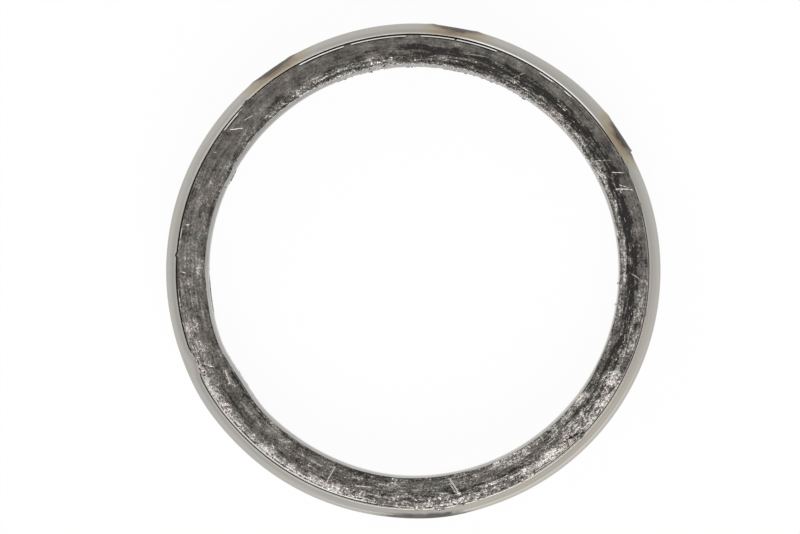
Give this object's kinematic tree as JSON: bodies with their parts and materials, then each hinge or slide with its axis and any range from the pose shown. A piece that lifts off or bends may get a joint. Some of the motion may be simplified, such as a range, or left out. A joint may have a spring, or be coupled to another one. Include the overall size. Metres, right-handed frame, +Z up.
{
  "type": "exhaust gasket",
  "caption": "Flat-lying exhaust ring gasket: a pressed wire and graphite ring with a thin steel liner in its bore and a barrel-shaped steel sheath tacked round its outside.",
  "frame": {"origin": "on the bore's axis, at the lower face of the ring as it lies flat", "axes": "+Z up along the bore's axis; +X to the right of the picture and +Y to its top"},
  "size_m": [0.0768, 0.0768, 0.0095],
  "materials": {
    "sheath_steel": "satin stainless sheet with fine lines along the strip and brown heat marks at three tack welds",
    "band_steel": "satin stainless sheet, only its bright cut edge shows",
    "wire_and_graphite": "pressed knitted wire smeared with graphite, mottled grey, with bright flecks and scratches",
    "liner_steel": "smooth stainless sheet, slightly smeared with graphite"
  },
  "bodies": {
    "root": {"outer_sheath": "sheath_steel", "inner_band": "band_steel", "wire_graphite_core": "wire_and_graphite", "bore_liner": "liner_steel"}
  },
  "joints": []
}
